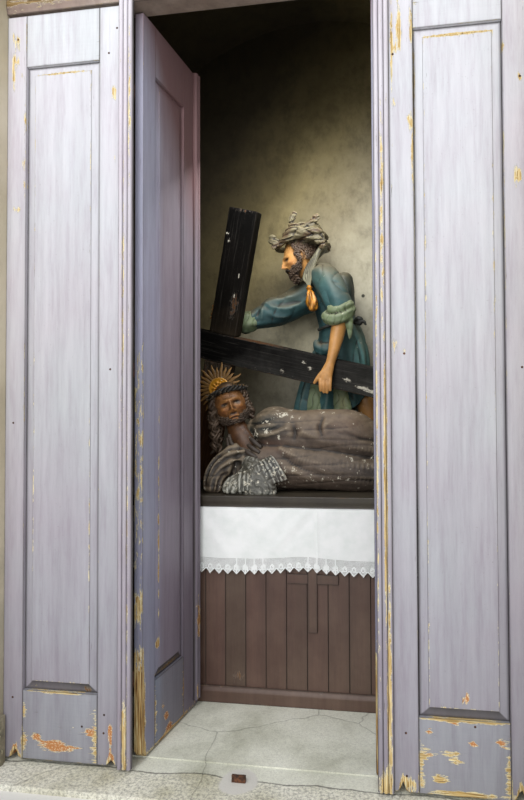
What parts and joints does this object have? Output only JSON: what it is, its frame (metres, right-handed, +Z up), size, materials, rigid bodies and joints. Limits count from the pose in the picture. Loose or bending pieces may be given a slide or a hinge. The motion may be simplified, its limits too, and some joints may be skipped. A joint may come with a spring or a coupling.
{
  "type": "wayside shrine",
  "caption": "Small vaulted wayside chapel with panelled timber doors, an altar and a carved group of a fallen figure and a cross bearer.",
  "frame": {"origin": "middle of the building's footprint on the ground", "axes": "+Z up, +Y from the doors into the chapel, +X to the right of someone facing the doors"},
  "size_m": [3.576, 2.24, 4.5124],
  "materials": {
    "concrete": "rough cast concrete, cracked",
    "rubble_stone": "rough lichened stone",
    "lime_render": "weathered lime render",
    "dressed_stone": "tooled stone",
    "sooty_plaster": "smoke darkened plaster",
    "roof_slate": "split stone slates",
    "door_paint": "peeling grey lilac oil paint on softwood",
    "rusty_iron": "rusty wrought iron",
    "brown_wood": "brown painted boards",
    "white_linen": "white linen with lace hem",
    "black_wood": "black painted timber, chipped",
    "teal_polychrome": "dusty painted carved wood",
    "painted_carving": "painted carved wood",
    "flesh_polychrome": "flesh coloured paint on carved wood",
    "brown_polychrome": "worn brown paint on carved wood",
    "gilding": "dull gilt sheet"
  },
  "bodies": {
    "building": {"floor_slab": "concrete", "side_plinths": "rubble_stone", "end_plinths": "rubble_stone", "left_wall": "lime_render", "right_wall": "lime_render", "rear_wall": "lime_render", "front_piers": "lime_render", "front_arch": "dressed_stone", "front_gable": "lime_render", "rear_gable": "lime_render", "vault": "sooty_plaster", "eaves_cornices": "dressed_stone", "left_roof": "roof_slate", "right_roof": "roof_slate", "ridge_cap": "roof_slate", "transom": "door_paint", "lunette": "door_paint", "cover_strips": "door_paint", "left_outer_leaf": "door_paint", "right_outer_leaf": "door_paint", "outer_panels": "door_paint", "hinge_pins": "rusty_iron", "leaf_stop": "rusty_iron", "altar_block": "rubble_stone", "altar_table": "brown_wood", "altar_boards": "brown_wood", "altar_base": "brown_wood", "altar_cross": "brown_wood", "altar_cloth": "white_linen", "cross_arms": "black_wood", "cross_beam": "black_wood", "bearer_robe": "teal_polychrome", "bearer_head": "painted_carving", "bearer_limbs": "flesh_polychrome", "fallen_robe": "brown_polychrome", "fallen_head": "flesh_polychrome", "halo": "gilding"},
    "left_leaf": {"left_inner_leaf": "door_paint", "left_inner_panel": "door_paint", "left_astragal": "door_paint", "left_hinge_leaves": "rusty_iron"},
    "right_leaf": {"right_inner_leaf": "door_paint", "right_inner_panel": "door_paint", "right_astragal": "door_paint", "right_hinge_leaves": "rusty_iron"}
  },
  "joints": [
    {"name": "left_leaf_hinge", "type": "hinge", "parent": "building", "child": "left_leaf", "pos_m": [-0.535, -0.795, 0.04], "axis": [0, 0, 1], "range_deg": [-85.5, 84.5]},
    {"name": "right_leaf_hinge", "type": "hinge", "parent": "building", "child": "right_leaf", "pos_m": [0.535, -0.795, 0.04], "axis": [0, 0, -1], "range_deg": [-90, 80]}
  ]
}
